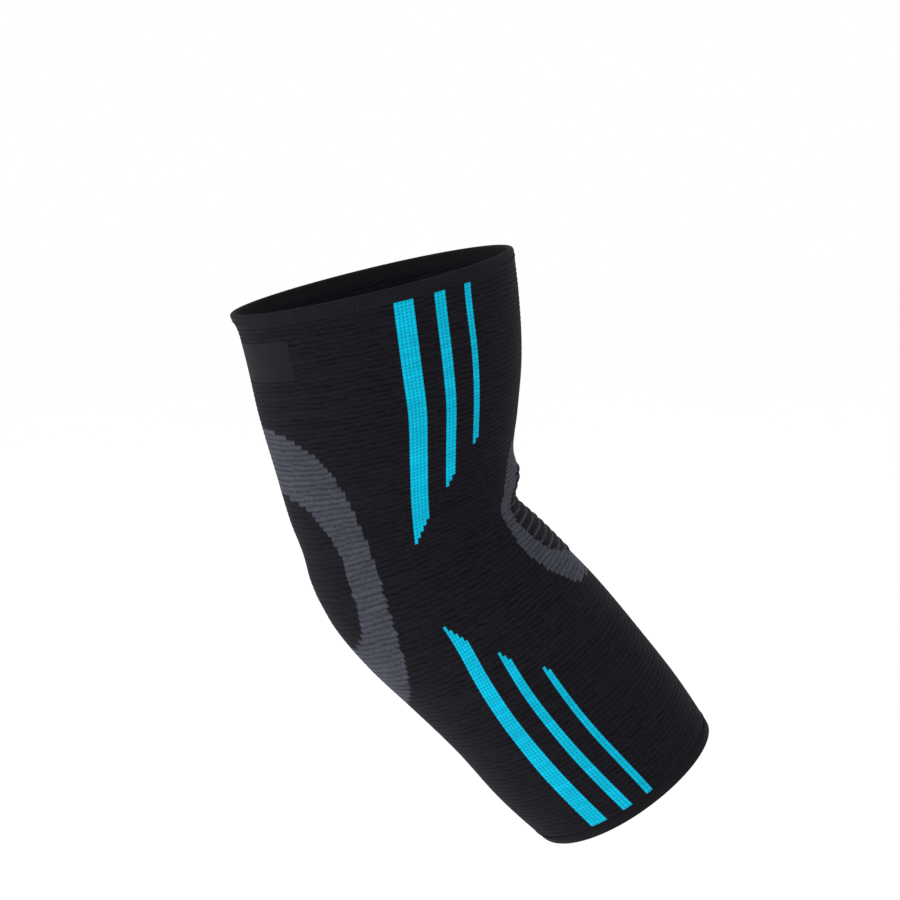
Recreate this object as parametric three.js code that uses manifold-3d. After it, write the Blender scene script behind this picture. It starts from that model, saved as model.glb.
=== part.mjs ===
// A knitted elbow sleeve in its worn, bent form. Millimetres and degrees.
// +Z is up, +X is the front with the crook of the elbow, and the sleeve bends in the XZ plane.
// The origin is the middle of the elbow, in the hollow.
import * as THREE from 'three';
import { mergeVertices } from 'three/addons/utils/BufferGeometryUtils.js';
import Module from 'manifold-3d';

const wasm = await Module();
wasm.setup();

// Lengths along the middle of the sleeve, from the elbow to each rim
const upperLength = 111;
const lowerLength = 143;

// How the sleeve is bent: the upper half's lean back from upright, and the lower half's turn from it
const upperLean = 7;
const elbowBend = 33;
const bendRadius = 20;

// Tilt of the knit's rows from level at the two rims, and the length over which it changes
const upperRowTilt = 13;
const lowerRowTilt = 34;
const rowTurnLength = 130;

// Outer size, front to back
const upperRimDepth = 118;
const elbowDepth = 94;
const lowerRimDepth = 87;

// Knit wall and the welts at the rims
const wall = 2.4;
const cuffHeight = 6;
const cuffProud = 0.5;
const cuffFlare = 1.2;
const cuffRounding = 0.9;

// Clearance between two pieces, and thickness of the coloured knit that lies flush in the wall
const pieceGap = 0.3;
const inlayThickness = 0.8;

// Grey ring over the point of the elbow: its outline and its window, from their top above the
// elbow to their bottom below it. A larger squareness fills an outline's corners more.
const ringTop = 62.5;
const ringBottom = -54;
const ringHalfWidth = 48;
const ringTopSquareness = 3.2;
const ringBottomSquareness = 2;
const ringWindowTop = 36.5;
const ringWindowBottom = -26;
const ringWindowHalfWidth = 34.5;
const ringWindowSquareness = 2.7;

// Grey ladder in the crook, and the black bars between its rungs, which fill an oval
const crookTop = 30;
const crookBottom = -54;
const crookHalfWidth = 33.5;
const barCount = 10;
const firstBar = 10;
const barPitch = 5.05;
const barHeight = 3.8;
const barHalfWidth = 24;
const barOvalMiddle = -14;
const barOvalReach = 31;

// Smooth patch on the back of the upper half, its height and its drop from the cuff
const labelHeight = 16.5;
const labelDrop = 6.3;
const labelHalfWidth = 40;

// Outline of the sleeve, as shares of the half depth: front, back, and side from their mean.
// along is a share of the lower half's length below the elbow and of the upper half's above it.
const sections = [
  { along: -1, front: 1.015, back: 0.98, side: 0.9 },
  { along: -0.8, front: 1.07, back: 1.03, side: 0.92 },
  { along: -0.6, front: 1.08, back: 1.02, side: 0.945 },
  { along: -0.4, front: 1.065, back: 1.05, side: 0.93 },
  { along: -0.25, front: 1.03, back: 1.085, side: 0.905 },
  { along: -0.12, front: 1.005, back: 1.075, side: 0.88 },
  { along: 0, front: 0.975, back: 1, side: 0.86 },
  { along: 0.1, front: 0.995, back: 0.985, side: 0.86 },
  { along: 0.22, front: 0.955, back: 1.015, side: 0.86 },
  { along: 0.38, front: 0.98, back: 1.03, side: 0.86 },
  { along: 0.6, front: 1.01, back: 1.045, side: 0.86 },
  { along: 0.8, front: 0.995, back: 1.035, side: 0.86 },
  { along: 1, front: 0.955, back: 1.04, side: 0.86 },
];

// Outline of the crook's ladder from its top to its bottom, as shares of its half width
const crookOutline = [
  { along: 0, half: 0.4 },
  { along: 0.08, half: 0.57 },
  { along: 0.2, half: 0.76 },
  { along: 0.4, half: 0.82 },
  { along: 0.6, half: 1 },
  { along: 0.75, half: 0.93 },
  { along: 0.88, half: 0.76 },
  { along: 1, half: 0.3 },
];

// Tapered stripes: angles round from the front at the cuff and at the tip, the width as a share
// of the widest stripe's, and the tip and the start of its taper as shares of its half's length
// from the elbow
const widestStripe = 8.2;
const stripeTable = [
  { end: 'upper', number: 1, cuffAngle: 86, tipAngle: 92, width: 1, tip: 0.07, taper: 0.22 },
  { end: 'upper', number: 2, cuffAngle: 70.6, tipAngle: 74, width: 0.62, tip: 0.25, taper: 0.32 },
  { end: 'upper', number: 3, cuffAngle: 57, tipAngle: 59, width: 0.44, tip: 0.37, taper: 0.42 },
  { end: 'lower', number: 1, cuffAngle: 113.5, tipAngle: 100, width: 0.85, tip: 0.18, taper: 0.29 },
  { end: 'lower', number: 2, cuffAngle: 96, tipAngle: 90.5, width: 0.52, tip: 0.33, taper: 0.39 },
  { end: 'lower', number: 3, cuffAngle: 81.5, tipAngle: 80, width: 0.35, tip: 0.44, taper: 0.5 },
];

// Facets round the sleeve and along it, outside and inside, and how much finer they are
// at the elbow than at the rims
const facetsRound = 36;
const facetsAlong = 22;
const innerFacetsRound = 24;
const innerFacetsAlong = 16;
const elbowFineness = 0.5;

const radians = THREE.MathUtils.degToRad;
const mix = THREE.MathUtils.lerp;
const bodyTop = upperLength - cuffHeight - pieceGap;
const bodyBottom = -(lowerLength - cuffHeight - pieceGap);

// Reads one column of a table of rows at a place along it, on a smooth curve through the rows
function readTable(rows, column, along) {
  const last = rows.length - 1;
  const rise = (i) => (rows[i + 1][column] - rows[i][column]) / (rows[i + 1].along - rows[i].along);
  const span = (i) => rows[i + 1].along - rows[i].along;
  function slope(i) {
    if (i === 0) return 2 * rise(0) - slope(1);
    if (i === last) return 2 * rise(last - 1) - slope(last - 1);
    return (span(i) * rise(i - 1) + span(i - 1) * rise(i)) / (span(i) + span(i - 1));
  }
  let i = 0;
  while (i < last - 1 && along > rows[i + 1].along) i += 1;
  const h = span(i);
  const t = THREE.MathUtils.clamp((along - rows[i].along) / h, 0, 1);
  const start = (1 + 2 * t) * (1 - t) ** 2 * rows[i][column] + t * (1 - t) ** 2 * h * slope(i);
  const end = t * t * (3 - 2 * t) * rows[i + 1][column] + t * t * (t - 1) * h * slope(i + 1);
  return start + end;
}

// Point on the middle line of the sleeve: two straight stretches joined by an arc at the elbow
function centreLine(s) {
  const lean = radians(upperLean);
  const turn = radians(elbowBend);
  const halfArc = (bendRadius * turn) / 2;
  const tangent = bendRadius * Math.tan(turn / 2);
  const up = new THREE.Vector3(-Math.sin(lean), 0, Math.cos(lean));
  const down = new THREE.Vector3(Math.sin(lean + turn), 0, -Math.cos(lean + turn));
  const front = new THREE.Vector3(Math.cos(lean), 0, Math.sin(lean));
  const middle = up.clone().multiplyScalar(tangent).addScaledVector(front, bendRadius);
  const angle = lean + (halfArc - THREE.MathUtils.clamp(s, -halfArc, halfArc)) / bendRadius;
  const point = middle.addScaledVector(
    new THREE.Vector3(Math.cos(angle), 0, Math.sin(angle)), -bendRadius);
  point.addScaledVector(up, Math.max(s - halfArc, 0));
  return point.addScaledVector(down, Math.max(-s - halfArc, 0));
}

// Half depth of the plain taper at s, which the section shares multiply
function halfDepth(s) {
  const rim = s > 0 ? upperRimDepth : lowerRimDepth;
  const share = s > 0 ? s / upperLength : -s / lowerLength;
  return mix(elbowDepth, rim, share) / 2;
}

// Tilt of the knit's rows from level at s
function rowTilt(s) {
  const turned = THREE.MathUtils.smoothstep(0.5 - s / rowTurnLength, 0, 1);
  return radians(mix(upperRowTilt, lowerRowTilt, turned));
}

// Point on the outer face: s along the sleeve, angle round it from the front toward +Y
function facePoint(s, angle) {
  const along = s > 0 ? s / upperLength : s / lowerLength;
  const front = readTable(sections, 'front', along) * halfDepth(s);
  const back = readTable(sections, 'back', along) * halfDepth(s);
  const side = (readTable(sections, 'side', along) * (front + back)) / 2;
  const tilt = rowTilt(s);
  const reach = (Math.cos(angle) > 0 ? front : back) * Math.cos(angle);
  const offset = new THREE.Vector3(
    reach * Math.cos(tilt), side * Math.sin(angle), reach * Math.sin(tilt));
  return centreLine(s).add(offset);
}

// Point at a distance out from the outer face, along its normal; negative lies in the wall
function sleevePoint(s, angle, out) {
  const step = 0.5;
  const turn = 0.01;
  const along = facePoint(s + step, angle).sub(facePoint(s - step, angle));
  const round = facePoint(s, angle + turn).sub(facePoint(s, angle - turn));
  const normal = round.cross(along).normalize();
  return facePoint(s, angle).addScaledVector(normal, out);
}

// Point at a distance out from the outer face, within the flat cut along the row at s
function rimPoint(s, angle, out) {
  const turn = 0.01;
  const tilt = rowTilt(s);
  const cutNormal = new THREE.Vector3(-Math.sin(tilt), 0, Math.cos(tilt));
  const round = facePoint(s, angle + turn).sub(facePoint(s, angle - turn));
  return facePoint(s, angle).addScaledVector(round.cross(cutNormal).normalize(), out);
}

// Angle reached from a start angle after a distance round the outer face
function angleAfter(s, start, distance) {
  const steps = Math.max(1, Math.ceil(Math.abs(distance) / 4));
  let angle = start;
  for (let i = 0; i < steps; i += 1) {
    const perRadian = facePoint(s, angle + 0.02).distanceTo(facePoint(s, angle - 0.02)) / 0.04;
    angle += distance / steps / perRadian;
  }
  return angle;
}

// Moves every vertex of a closed geometry to a new place and returns it as a solid
function shaped(geometry, place) {
  const position = geometry.getAttribute('position');
  for (let i = 0; i < position.count; i += 1) {
    const point = place(position.getX(i), position.getY(i), position.getZ(i));
    position.setXYZ(i, point.x, point.y, point.z);
  }
  geometry.deleteAttribute('normal');
  geometry.deleteAttribute('uv');
  const merged = mergeVertices(geometry, 1e-4);
  return new wasm.Manifold(new wasm.Mesh({
    numProp: 3,
    vertProperties: new Float32Array(merged.getAttribute('position').array),
    triVerts: new Uint32Array(merged.getIndex().array),
  }));
}

// Solid plug that fills the sleeve between two places, with its skin at a distance from the face
function plug(from, to, out, round, along) {
  const cylinder = new THREE.CylinderGeometry(1, 1, 1, round, along);
  return shaped(cylinder, (x, y, z) => {
    const even = 2 * y;
    const spread = even * (1 - elbowFineness + elbowFineness * even * even);
    const s = mix(from, to, spread / 2 + 0.5);
    const skin = sleevePoint(s, Math.atan2(x, z), out);
    return centreLine(s).lerp(skin, Math.min(1, Math.hypot(x, z)));
  });
}

// Turned welt with rounded corners, from the end of the knit to the rim; flareAt gives how far
// its outer face leans out at an angle
function welt(rim, flareAt) {
  const corner = cuffRounding * (1 - Math.SQRT1_2);
  const across = wall + cuffProud;
  const height = cuffHeight;
  const profile = [
    [0, corner], [0, height - cuffRounding], [corner, height - corner], [cuffRounding, height],
    [across - cuffRounding, height], [across - corner, height - corner],
    [across, height - cuffRounding], [across, corner], [across - corner, 0], [corner, 0],
  ];
  // Lathe profiles stand one unit off the axis, so that the radius gives the place in the wall
  const points = profile.map(([out, up]) => new THREE.Vector2(1 + out, up * Math.sign(rim)));
  if (rim > 0) points.reverse();
  points.push(points[0].clone());
  const ring = new THREE.LatheGeometry(points, facetsRound);
  return shaped(ring, (x, y, z) => {
    const angle = Math.atan2(x, z);
    const out = Math.hypot(x, z) - 1 - wall;
    const s = rim - Math.sign(rim) * height + y;
    return rimPoint(s, angle, out + flareAt(angle) * (y / height) ** 2);
  });
}

// Slab that lies in the outer face. share runs 0 to 1 from its first end to its last;
// halfAt(share) is its half width and angleAt(share) the angle of its middle.
function slab(zone, grow, bottom, top) {
  const box = new THREE.BoxGeometry(1, 1, 1, zone.columns, zone.rows, 1);
  return shaped(box, (x, y, z) => {
    const share = zone.roundEnds ? 0.5 - Math.cos((y + 0.5) * Math.PI) / 2 : y + 0.5;
    const s = mix(zone.from - grow, zone.to + grow, share);
    const half = zone.halfAt(share) + grow;
    const angle = angleAfter(s, zone.angleAt(share), 2 * x * half);
    return sleevePoint(s, angle, z > 0 ? top : bottom);
  });
}

// Share of the half width of a rounded outline, which ends in a short flat
function roundedShare(share, squareness) {
  const beforeFlat = 0.985;
  const height = Math.abs(2 * share - 1) * beforeFlat;
  return (1 - height ** squareness) ** (1 / squareness);
}

// An inlay lies in a recess that is wider and deeper by the gap. A window's cutter runs past
// the recess and its contents, above and below.
const back = Math.PI;
const cutAbove = 1.5;
const cutPast = 1;
const recessDepth = inlayThickness + pieceGap;
const inlay = (zone) => slab(zone, 0, -inlayThickness, 0);
const recess = (zone) => slab(zone, pieceGap, -recessDepth, cutAbove);
const windowIn = (zone, grow) => slab(zone, grow, -recessDepth - cutPast, cutAbove + cutPast);

// The grey ring is the zone inside its outer outline less the zone inside its window
const ringZone = {
  from: ringBottom,
  to: ringTop,
  columns: 10,
  rows: 10,
  roundEnds: true,
  halfAt(share) {
    const squareness = share > 0.5 ? ringTopSquareness : ringBottomSquareness;
    return ringHalfWidth * roundedShare(share, squareness);
  },
  angleAt: () => back,
};
const ringWindowZone = {
  from: ringWindowBottom,
  to: ringWindowTop,
  columns: 8,
  rows: 8,
  roundEnds: true,
  halfAt: (share) => ringWindowHalfWidth * roundedShare(share, ringWindowSquareness),
  angleAt: () => back,
};
const ring = inlay(ringZone).subtract(windowIn(ringWindowZone, 0));
const ringRecess = recess(ringZone).subtract(windowIn(ringWindowZone, -pieceGap));

// The crook's ladder is its outline less a window for each black bar
const crookZone = {
  from: crookBottom,
  to: crookTop,
  columns: 6,
  rows: 9,
  halfAt: (share) => crookHalfWidth * readTable(crookOutline, 'half', 1 - share),
  angleAt: () => 0,
};
const barZones = Array.from({ length: barCount }, (_, i) => {
  const middle = firstBar - i * barPitch;
  const half = barHalfWidth * Math.sqrt(1 - ((middle - barOvalMiddle) / barOvalReach) ** 2);
  return {
    from: middle - barHeight / 2,
    to: middle + barHeight / 2,
    columns: 4,
    rows: 1,
    halfAt: () => half,
    angleAt: () => 0,
  };
});
let crookPanel = inlay(crookZone);
let crookRecess = recess(crookZone);
for (const bar of barZones) {
  crookPanel = crookPanel.subtract(windowIn(bar, 0));
  crookRecess = crookRecess.subtract(windowIn(bar, -pieceGap));
}

const labelZone = {
  from: upperLength - cuffHeight - labelDrop - labelHeight,
  to: upperLength - cuffHeight - labelDrop,
  columns: 8,
  rows: 1,
  halfAt: () => labelHalfWidth,
  angleAt: () => back,
};

// A stripe runs from its cuff to its tip; side is -1 on the near side and 1 on the far side
function stripeZone(row, side) {
  const length = row.end === 'upper' ? upperLength : lowerLength;
  const sign = row.end === 'upper' ? 1 : -1;
  const start = sign > 0 ? bodyTop : -bodyBottom;
  const tip = row.tip * length;
  const bluntTip = 0.12;
  const fromCuff = (share) => (sign > 0 ? 1 - share : share);
  return {
    from: sign > 0 ? tip : -start,
    to: sign > 0 ? start : -tip,
    columns: 1,
    rows: 7,
    halfAt(share) {
      const distance = mix(start, tip, fromCuff(share)) - tip;
      const taper = Math.min(1, distance / ((row.taper - row.tip) * length));
      return Math.max(bluntTip, taper) * ((row.width * widestStripe) / 2);
    },
    angleAt: (share) => side * radians(mix(row.cuffAngle, row.tipAngle, fromCuff(share) ** 3)),
  };
}
const stripes = [];
for (const row of stripeTable) {
  stripes.push({ name: `stripe_${row.end}_${row.number}`, zone: stripeZone(row, -1) });
  stripes.push({ name: `stripe_${row.end}_${row.number + 3}`, zone: stripeZone(row, 1) });
}

// The knit tube, hollow from end to end, with a recess for each coloured zone
const hollow = plug(
  -lowerLength, upperLength, -wall, innerFacetsRound, innerFacetsAlong);
let body = plug(bodyBottom, bodyTop, 0, facetsRound, facetsAlong).subtract(hollow);
body = body.subtract(ringRecess).subtract(crookRecess).subtract(recess(labelZone));
for (const stripe of stripes) body = body.subtract(recess(stripe.zone));

// The upper cuff stands out a little at the back, where the rim curls outward
const upperFlare = (angle) => cuffFlare * (0.5 - 0.5 * Math.cos(angle));
const upperCuff = welt(upperLength, upperFlare);
const lowerCuff = welt(-lowerLength, () => 0);

const blackKnit = { color: 0x1b1b1f, roughness: 0.9, metalness: 0 };
const blackWelt = { color: 0x202024, roughness: 0.85, metalness: 0 };
const greyKnit = { color: 0x4c4c56, roughness: 0.9, metalness: 0 };
const cyanKnit = { color: 0x0eaccb, roughness: 0.85, metalness: 0 };
const labelCloth = { color: 0x2a2a2e, roughness: 0.8, metalness: 0 };

const sleeve = new THREE.Group();
function addPiece(name, solid, finish) {
  const mesh = solid.getMesh();
  const geometry = new THREE.BufferGeometry();
  geometry.setAttribute('position', new THREE.BufferAttribute(mesh.vertProperties, 3));
  geometry.setIndex(new THREE.BufferAttribute(mesh.triVerts, 1));
  geometry.computeVertexNormals();
  const piece = new THREE.Mesh(geometry, new THREE.MeshStandardMaterial(finish));
  piece.name = name;
  sleeve.add(piece);
}
addPiece('sleeve_body', body, blackKnit);
addPiece('upper_cuff', upperCuff, blackWelt);
addPiece('lower_cuff', lowerCuff, blackWelt);
addPiece('elbow_ring', ring, greyKnit);
addPiece('crook_panel', crookPanel, greyKnit);
addPiece('label', inlay(labelZone), labelCloth);
for (const stripe of stripes) addPiece(stripe.name, inlay(stripe.zone), cyanKnit);

export default sleeve;
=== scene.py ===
"""Looks of a knitted elbow sleeve in its worn, bent form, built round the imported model."""

import math
from functools import lru_cache

import bpy
import numpy as np
from bpy.props import FloatProperty, FloatVectorProperty, IntProperty, PointerProperty
from mathutils import Euler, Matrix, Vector


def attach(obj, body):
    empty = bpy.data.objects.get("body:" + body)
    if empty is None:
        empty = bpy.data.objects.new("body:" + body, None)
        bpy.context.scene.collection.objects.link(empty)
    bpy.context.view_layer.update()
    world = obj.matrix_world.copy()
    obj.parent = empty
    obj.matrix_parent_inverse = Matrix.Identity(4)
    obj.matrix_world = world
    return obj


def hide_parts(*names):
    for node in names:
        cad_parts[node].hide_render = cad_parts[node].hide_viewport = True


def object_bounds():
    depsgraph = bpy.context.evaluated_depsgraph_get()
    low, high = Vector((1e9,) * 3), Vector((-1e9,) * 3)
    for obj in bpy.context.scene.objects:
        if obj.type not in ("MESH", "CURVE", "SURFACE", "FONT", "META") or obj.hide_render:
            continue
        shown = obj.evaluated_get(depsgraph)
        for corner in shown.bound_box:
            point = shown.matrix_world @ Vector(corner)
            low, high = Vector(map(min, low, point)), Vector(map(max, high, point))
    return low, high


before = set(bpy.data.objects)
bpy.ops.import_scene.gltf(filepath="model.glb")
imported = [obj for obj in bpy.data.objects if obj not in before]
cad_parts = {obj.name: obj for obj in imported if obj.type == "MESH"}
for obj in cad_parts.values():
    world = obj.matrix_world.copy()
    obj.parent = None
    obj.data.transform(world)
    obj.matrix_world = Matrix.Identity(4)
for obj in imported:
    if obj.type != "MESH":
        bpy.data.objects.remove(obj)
CAD_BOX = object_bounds()

bl_info = {
    "name": "Knitted Elbow Sleeve",
    "version": (1, 0, 0),
    "blender": (4, 5, 0),
    "location": "3D View > Sidebar > Elbow Sleeve",
    "description": "Builds a bent, ribbed elbow sleeve with its colour zones, cuffs and stage",
    "category": "Object",
}

MM = 0.001

# Outline of the sleeve, as shares of the half depth: front, back, and side from their mean.
# along is a share of the lower half's length below the elbow and of the upper half's above it.
SECTIONS = {
    "along": (-1, -0.8, -0.6, -0.4, -0.25, -0.12, 0, 0.1, 0.22, 0.38, 0.6, 0.8, 1),
    "front": (1.015, 1.07, 1.08, 1.065, 1.03, 1.005, 0.975, 0.995, 0.955, 0.98, 1.01, 0.995, 0.955),
    "back": (0.98, 1.03, 1.02, 1.05, 1.085, 1.075, 1, 0.985, 1.015, 1.03, 1.045, 1.035, 1.04),
    "side": (0.9, 0.92, 0.945, 0.93, 0.905, 0.88, 0.86, 0.86, 0.86, 0.86, 0.86, 0.86, 0.86),
}

# Half widths of the crook's ladder and of its black bars, from bottom to top, as shares of the
# widest
CROOK_OUTLINE = {
    "along": (0, 0.03, 0.1, 0.22, 0.4, 0.6, 0.8, 0.92, 1),
    "half": (0.35, 0.62, 0.78, 0.93, 1, 0.82, 0.78, 0.6, 0.45),
}
BARS_OUTLINE = {
    "along": (0, 0.1, 0.2, 0.36, 0.5, 0.62, 0.74, 0.86, 0.94, 1),
    "half": (0, 0.54, 0.82, 0.97, 0.98, 0.88, 0.76, 0.66, 0.56, 0.3),
}

# Tapered stripes: the end and number of each, the columns of stitches between which it runs,
# counted round from the front, and its tip's distance from the elbow as a share of its half's
# length. Each rib towards the tip loses one column on the side of the front. Those of one end
# stand in order from the back forward.
STRIPES = (
    ("upper", 1, (51, 56), 0.075),
    ("upper", 2, (42, 45), 0.235),
    ("upper", 3, (34, 36), 0.36),
    ("lower", 1, (58, 63), 0.19),
    ("lower", 2, (49, 52), 0.33),
    ("lower", 3, (42, 44), 0.45),
)

# How the columns fan out along each half, by the share of its length from the elbow: the angle
# of each stripe's middle round from the front, and the width of one column, in degrees
COLUMN_FAN = {
    "upper": {
        "along": (0, 0.09, 0.22, 0.36, 0.54, 0.68, 0.95, 1),
        "middle_1": (89.2, 89.2, 88.4, 87, 85.4, 85.7, 86, 86),
        "middle_2": (72.5, 72.5, 72.1, 71.3, 70.1, 70.3, 70.6, 70.4),
        "middle_3": (58.3, 58.3, 58.1, 57.6, 56.9, 56.7, 57.2, 56.6),
        "column": (1.67, 1.67, 1.69, 1.67, 1.62, 1.62, 1.62, 1.62),
    },
    "lower": {
        "along": (0, 0.2, 0.28, 0.38, 0.48, 0.59, 0.7, 0.83, 0.96, 1),
        "middle_1": (100.8, 100.4, 103, 107.2, 110.6, 113, 114, 113.9, 113.5, 113.4),
        "middle_2": (84.2, 85.6, 88.2, 91.6, 94.3, 95.9, 96.5, 96, 95, 94.8),
        "middle_3": (71.7, 72.8, 74.8, 77.6, 80, 81.6, 82.1, 81.4, 80.6, 80.6),
        "column": (1.67, 1.42, 1.34, 1.47, 1.6, 1.73, 1.87, 1.95, 2.03, 2.03),
    },
}

# Painted shade in the grooves between ribs, as dark lines in runs: the faintest run's share of the
# darkness, a run's length in wales, and how far the runs of one line are out of step, in ribs
BLACK_GROOVE_SHADE = {"faintest": 0.3, "run": 5.5, "spread": 0.28}
GREY_GROOVE_SHADE = {"faintest": 0.6, "run": 11.0, "spread": 0.12}

# A rib's section: where each row of points lies, as a share of its height, and how far below
# the crest, as a share of its depth
RIB_ROWS = (0.0, 0.24, 0.76)
RIB_DROP = (1.0, 0.0, 0.0)

# Least and greatest depth of a groove, as shares of the rib's depth
GROOVE_SPREAD = (0.85, 1.15)

# Soft waves of the worn cloth: their number, and the ranges of each one's whole turns round the
# sleeve and turns for each metre along it
WAVES = {"number": 10, "around": (1, 5), "per_metre": (4, 22)}

# Squareness of the ring's and its window's outline, below and above: 2 is an ellipse
RING_SQUARENESS = (2, 3.2)
WINDOW_SQUARENESS = (2.7, 2.7)

# Room under a coloured zone in its bed, how many ribs lie between two rows of the inside's
# points, the least angle of an edge that shows, and how far a stitch's middle lies over the cuff
BED_GAP = 0.05 * MM
INNER_STEP = 2
SHARP_EDGE = math.radians(60)
STITCH_LIFT = 0.02 * MM

# A welt's section: its points outside and inside as shares of its height, where its shoulder
# ends as a share of the rib before it, the number of points over the rim, and a row's height
WELT_OUTSIDE = (0.5, 0.62, 0.74)
WELT_INSIDE = (0.6, 0.3, 0.01)
WELT_SHOULDER = 1.15
RIM_POINTS = 9
WELT_ROW = 0.9 * MM

# Noise scales of the single fibres and of the rows' wandering, and the fibres' soft shine
FIBRES = 2600.0
WANDER = 210.0
SHEEN = {"Sheen Roughness": 0.35, "Sheen Tint": (0.8, 0.75, 0.9)}

# Soft boxes of the stage, aimed at the elbow: name, place, size in metres and power in watts
LIGHTS = (
    ("Key", (-0.9, -1.4, 0.9), 1.2, 6),
    ("Left edge", (-1.5, 0.4, 0.0), 1.0, 6),
    ("Low left", (-0.4, -0.25, -0.36), 0.3, 0.9),
    ("Top", (0.2, 0.3, 1.6), 1.4, 0.4),
)


def length(name, mm, description):
    """A size in metres, given here in millimetres."""
    return FloatProperty(
        name=name, description=description, default=mm * MM, subtype="DISTANCE", unit="LENGTH"
    )


def angle(name, degrees, description):
    """An angle, given here in degrees."""
    turn = math.radians(degrees)
    return FloatProperty(
        name=name, description=description, default=turn, subtype="ANGLE", unit="ROTATION"
    )


def count(name, number, description):
    """A whole number, at least 1."""
    return IntProperty(name=name, description=description, default=number, min=1)


def srgb(channels):
    """Linear colour of an 8-bit display colour."""
    shares = [c / 255 for c in channels]
    return [c / 12.92 if c <= 0.04045 else ((c + 0.055) / 1.055) ** 2.4 for c in shares]


def colour(name, rgb, description):
    """A colour, given here as 8-bit display values."""
    return FloatVectorProperty(
        name=name, description=description, default=srgb(rgb), subtype="COLOR", min=0, max=1
    )


class SleeveForm(bpy.types.PropertyGroup):
    """Size and bend of the sleeve"""

    upper_length: length("Upper half", 111, "Length of the middle line above the elbow")
    lower_length: length("Lower half", 143, "Length of the middle line below the elbow")
    lean: angle("Lean", 7, "Lean of the upper half back from upright")
    bend: angle("Bend", 33, "Turn of the lower half from the upper half")
    bend_radius: length("Bend radius", 20, "Radius of the middle line at the elbow")
    upper_tilt: angle("Upper row tilt", 13, "Tilt of the rows at the upper rim")
    lower_tilt: angle("Lower row tilt", 34, "Tilt of the rows at the lower rim")
    turn_length: length("Row turn length", 130, "Length over which that tilt changes")
    upper_depth: length("Upper rim depth", 118, "Front to back at the upper rim")
    elbow_depth: length("Elbow depth", 94, "Front to back at the elbow")
    lower_depth: length("Lower rim depth", 87, "Front to back at the lower rim")
    wall: length("Wall", 2.4, "Thickness of the knit")
    cuff_height: length("Cuff height", 6, "Height of the welt at each rim")
    cuff_proud: length("Cuff stand-out", 0.06, "How far the welt stands out")
    upper_seam_drop: length("Upper seam drop", 3.3, "From the upper rim to the stitches")
    lower_seam_drop: length("Lower seam drop", 5.2, "From the lower rim to the stitches")
    stitch_width: length("Stitch width", 0.44, "Width of a seam stitch")
    stitch_length: length("Stitch length", 1.24, "Length of a seam stitch")
    stitch_height: length("Stitch height", 0.32, "Height of a seam stitch")
    rib_on_cuff: length("Cuff's rib", 2, "Height of the rib on the cuff's border")
    cloth_width: length("Cloth width", 250, "Width of the tube laid open and flat")
    cloth_length: length("Cloth length", 250, "Length of the tube laid open and flat")
    flare: length("Rim flare", 1.5, "How far the upper rim curls out at the back")
    flare_height: length("Flare height", 12, "Height over which it curls out")


class KnitForm(bpy.types.PropertyGroup):
    """Stitches and ribs of the knit"""

    wales: count("Wales", 216, "Columns of stitches round the sleeve")
    ribs_above: count("Ribs above", 52, "Ribs above the elbow")
    ribs_below: count("Ribs below", 60, "Ribs below the elbow")
    rib_depth: length("Rib depth", 0.2, "Depth of the groove between two ribs")
    inlay_depth: length("Inlay depth", 0.8, "Thickness of the coloured knit")
    crook_fold: length("Crook fold", 0.9, "How far the crook bulges out")
    fold_rise: length("Fold rise", 12, "Height of the bulge's middle over the elbow")
    fold_reach: length("Fold reach", 8, "Height over which the bulge fades")
    crook_crease: length("Crook crease", 0.1, "Depth of the crease in the crook")
    crease_rise: length("Crease rise", 1, "Height of the crease over the elbow")
    crease_reach: length("Crease reach", 2.6, "Height over which the crease fades")
    crook_spread: angle("Crook spread", 35.5, "Turn in which bulge and crease fade")
    waves: length("Waves", 0.05, "Height of the cloth's soft waves")
    wander: length("Wander", 0.16, "How far the ribs wander up and down")
    bar_bulge: length("Bar bulge", 0.7, "How far each black bar swells out")
    seed: count("Seed", 7, "Seed of the knit's small unevenness")


class ZoneForm(bpy.types.PropertyGroup):
    """Colour zones of the knit"""

    ring_top: length("Ring top", 62.5, "Top of the ring, above the elbow")
    ring_bottom: length("Ring bottom", -56.5, "Bottom of the ring, below the elbow")
    ring_half: length("Ring half width", 48, "Half width of the ring")
    window_top: length("Window top", 36.5, "Top of the ring's black window")
    window_bottom: length("Window bottom", -26, "Bottom of the ring's black window")
    window_half: length("Window half width", 34, "Half width of that window")
    crook_top: length("Ladder top", 30, "Top of the crook's ladder")
    crook_bottom: length("Ladder bottom", -52, "Bottom of the crook's ladder")
    crook_half: length("Ladder half width", 33.5, "Half width of the ladder")
    bars_half: length("Bars half width", 24, "Half width of the longest black bar")
    bars_top: length("Bars top", 17, "Top of the black bars")
    bars_bottom: length("Bars bottom", -41, "Bottom of the black bars")
    label_top: length("Label top", 98.7, "Top of the patch, above the elbow")
    label_height: length("Label height", 16.5, "Height of the patch")
    label_half: length("Label half width", 40, "Half width of the patch")


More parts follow.
